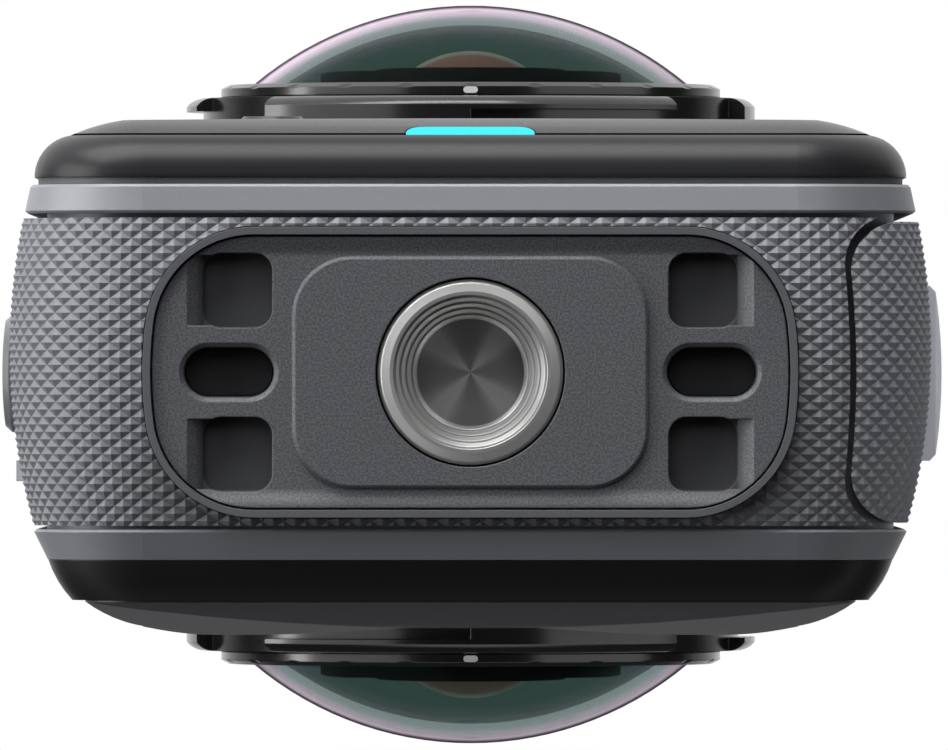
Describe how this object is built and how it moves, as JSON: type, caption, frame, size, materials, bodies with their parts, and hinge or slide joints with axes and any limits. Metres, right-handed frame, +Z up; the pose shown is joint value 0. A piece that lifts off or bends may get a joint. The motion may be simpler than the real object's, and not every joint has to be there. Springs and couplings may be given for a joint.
{
  "type": "360 degree camera",
  "caption": "Pocket 360 degree camera: upright body with a domed twist-lock lens window on each face, a slide-out battery and a tripod socket in its base.",
  "frame": {"origin": "middle of the base, on the surface that the camera stands on", "axes": "+Z up the body, -Y out of the screen side, +X out of the battery side"},
  "size_m": [0.0461, 0.0382, 0.1245],
  "materials": {
    "bezel_gray": "satin paint",
    "seal_black": "soft matte",
    "panel_glass": "tinted gloss",
    "status_cyan": "translucent gloss",
    "chassis_gray": "bead blasted, anodised",
    "grip_rubber": "matte, with a raised diamond lattice",
    "cover_rubber": "matte, with a raised diamond lattice",
    "band_black": "satin",
    "cover_gray": "satin",
    "trim_gray": "satin",
    "base_gray": "fine moulded grain",
    "magnet_black": "gloss",
    "steel": "turned",
    "carrier_alloy": "machined",
    "button_black": "gloss",
    "key_gray": "satin",
    "board_green": "solder mask",
    "switch_black": "moulded",
    "battery_wrap": "moulded case",
    "contact_brass": "gold flashed",
    "latch_gray": "satin",
    "screen_black": "gloss",
    "spreader_alloy": "rolled sheet",
    "index_white": "painted",
    "lens_black": "satin",
    "dome_glass": "coated, clear",
    "baffle_black": "light trap black",
    "element_glass": "coated"
  },
  "bodies": {
    "camera": {"base_magnets": "magnet_black", "base_plate": "base_gray", "base_trim_ring": "trim_gray", "battery_contacts": "contact_brass", "button_board": "board_green", "button_switches": "switch_black", "card_slot": "steel", "frame_screws": "steel", "front_frame": "bezel_gray", "front_gasket": "seal_black", "front_panel": "panel_glass", "grip_sleeve": "grip_rubber", "heat_spreader": "spreader_alloy", "lens_barrel_front": "baffle_black", "lens_barrel_rear": "baffle_black", "lens_base_front": "lens_black", "lens_base_rear": "lens_black", "lens_carrier": "carrier_alloy", "lens_element_front": "element_glass", "lens_element_rear": "element_glass", "main_board": "board_green", "microphones": "switch_black", "mid_frame": "chassis_gray", "rear_cover": "cover_gray", "rear_frame": "band_black", "sensor_front": "board_green", "sensor_rear": "board_green", "speaker": "switch_black", "status_light": "status_cyan", "touch_display": "screen_black", "tripod_insert": "steel", "usb_door_pin": "steel", "usb_port": "steel"},
    "shutter_button": {"shutter_button": "button_black"},
    "mode_button": {"mode_button": "button_black"},
    "power_button": {"power_button": "key_gray"},
    "quick_button": {"quick_button": "key_gray"},
    "battery": {"battery_pack": "battery_wrap", "battery_cover": "cover_rubber", "battery_seal": "seal_black"},
    "battery_latch": {"battery_latch": "latch_gray"},
    "usb_door": {"usb_door": "cover_rubber"},
    "front_window": {"lens_ring_front": "lens_black", "lens_dome_front": "dome_glass", "lens_seal_front": "seal_black", "index_dot_front": "index_white"},
    "rear_window": {"lens_ring_rear": "lens_black", "lens_dome_rear": "dome_glass", "lens_seal_rear": "seal_black", "index_dot_rear": "index_white"}
  },
  "joints": [
    {"name": "shutter_press", "type": "slide", "parent": "camera", "child": "shutter_button", "axis": [0, 1, 0], "range_m": [0, 0.0003], "stiffness_N_per_m": 2500},
    {"name": "mode_press", "type": "slide", "parent": "camera", "child": "mode_button", "axis": [0, 1, 0], "range_m": [0, 0.0003], "stiffness_N_per_m": 2500},
    {"name": "power_press", "type": "slide", "parent": "camera", "child": "power_button", "axis": [1, 0, 0], "range_m": [0, 0.00025], "stiffness_N_per_m": 2500},
    {"name": "quick_press", "type": "slide", "parent": "camera", "child": "quick_button", "axis": [1, 0, 0], "range_m": [0, 0.00025], "stiffness_N_per_m": 2500},
    {"name": "battery_slide", "type": "slide", "parent": "camera", "child": "battery", "axis": [1, 0, 0], "range_m": [0, 0.04]},
    {"name": "latch_slide", "type": "slide", "parent": "battery", "child": "battery_latch", "axis": [0, 0, 1], "range_m": [0, 0.003]},
    {"name": "usb_door_hinge", "type": "hinge", "parent": "camera", "child": "usb_door", "pos_m": [-0.021, 0, 0.0213], "axis": [0, -1, 0], "range_deg": [0, 95]},
    {"name": "front_window_twist", "type": "hinge", "parent": "camera", "child": "front_window", "pos_m": [0, -0.0143, 0.1053], "axis": [0, -1, 0], "range_deg": [0, 30]},
    {"name": "rear_window_twist", "type": "hinge", "parent": "camera", "child": "rear_window", "pos_m": [0, 0.0143, 0.1053], "axis": [0, 1, 0], "range_deg": [0, 30]}
  ]
}
